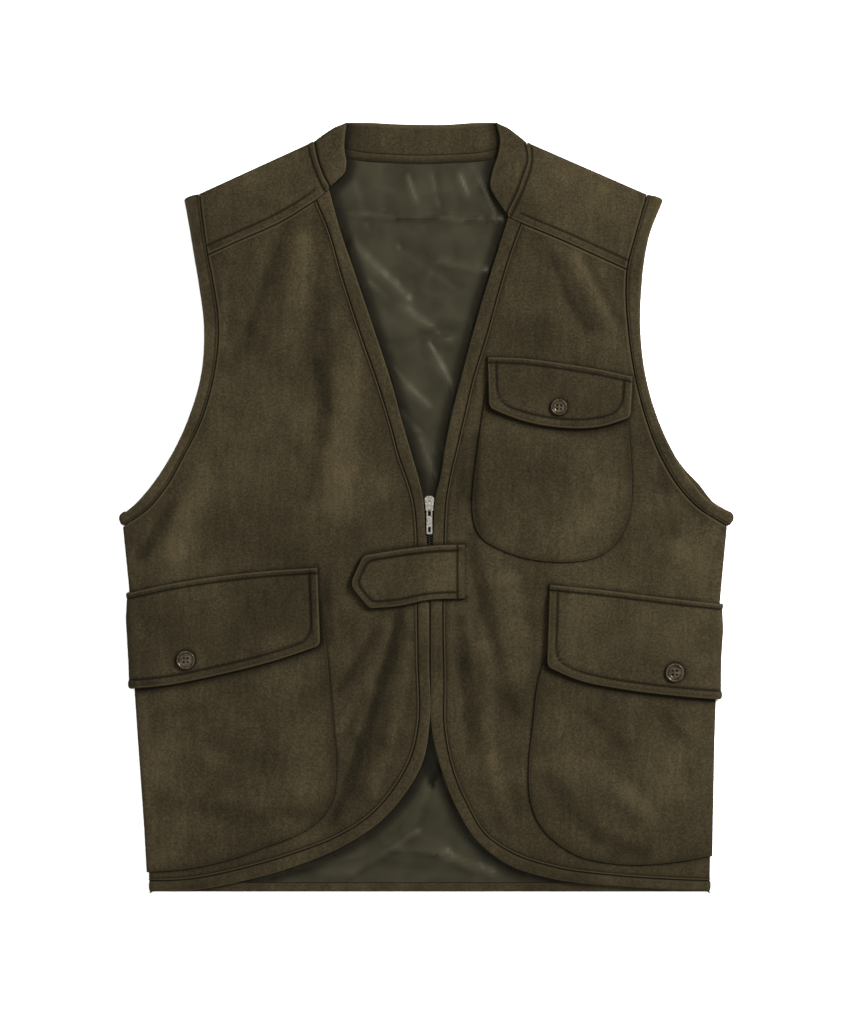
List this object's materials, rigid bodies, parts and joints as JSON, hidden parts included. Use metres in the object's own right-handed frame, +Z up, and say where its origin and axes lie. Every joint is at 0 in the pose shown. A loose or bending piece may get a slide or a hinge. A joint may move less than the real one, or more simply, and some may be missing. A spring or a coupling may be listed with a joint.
{
  "type": "suede vest",
  "caption": "Sleeveless zip-front vest in dark olive-brown suede cloth with yokes, a band collar, flap pockets and a tab across the zip, laid flat on its back.",
  "frame": {"origin": "centre of the laid-out vest's footprint, on the surface that it lies on", "axes": "+X to the wearer's left, +Y towards the collar, +Z up from the surface, out of the vest's front"},
  "size_m": [0.561, 0.709, 0.0156],
  "materials": {
    "suede": "dark olive-brown faux suede with a short brushed nap",
    "lining": "dark olive satin",
    "zip_metal": "plated silver, slightly worn",
    "button": "dark horn effect, polished",
    "zip_tape": "black-brown woven tape"
  },
  "bodies": {
    "vest": {"back_panel": "suede", "back_hem_band": "suede", "back_lining": "lining", "front_right": "suede", "front_left": "suede", "yoke_right": "suede", "yoke_left": "suede", "front_band_right": "suede", "front_band_left": "suede", "armhole_band_right": "suede", "armhole_band_left": "suede", "collar": "suede", "chest_pocket": "suede", "chest_flap": "suede", "hip_pocket_right": "suede", "hip_pocket_left": "suede", "hip_flap_right": "suede", "hip_flap_left": "suede", "front_tab": "suede", "zip_tape": "zip_tape", "zip_slider": "zip_metal", "button_chest": "button", "button_hip_right": "button", "button_hip_left": "button"},
    "zip_pull": {"zip_pull": "zip_metal"}
  },
  "joints": [
    {"name": "pull_hinge", "type": "hinge", "parent": "vest", "child": "zip_pull", "pos_m": [0.0027, -0.001, 0.0076], "axis": [-1, 0, 0], "range_deg": [0, 180]}
  ]
}
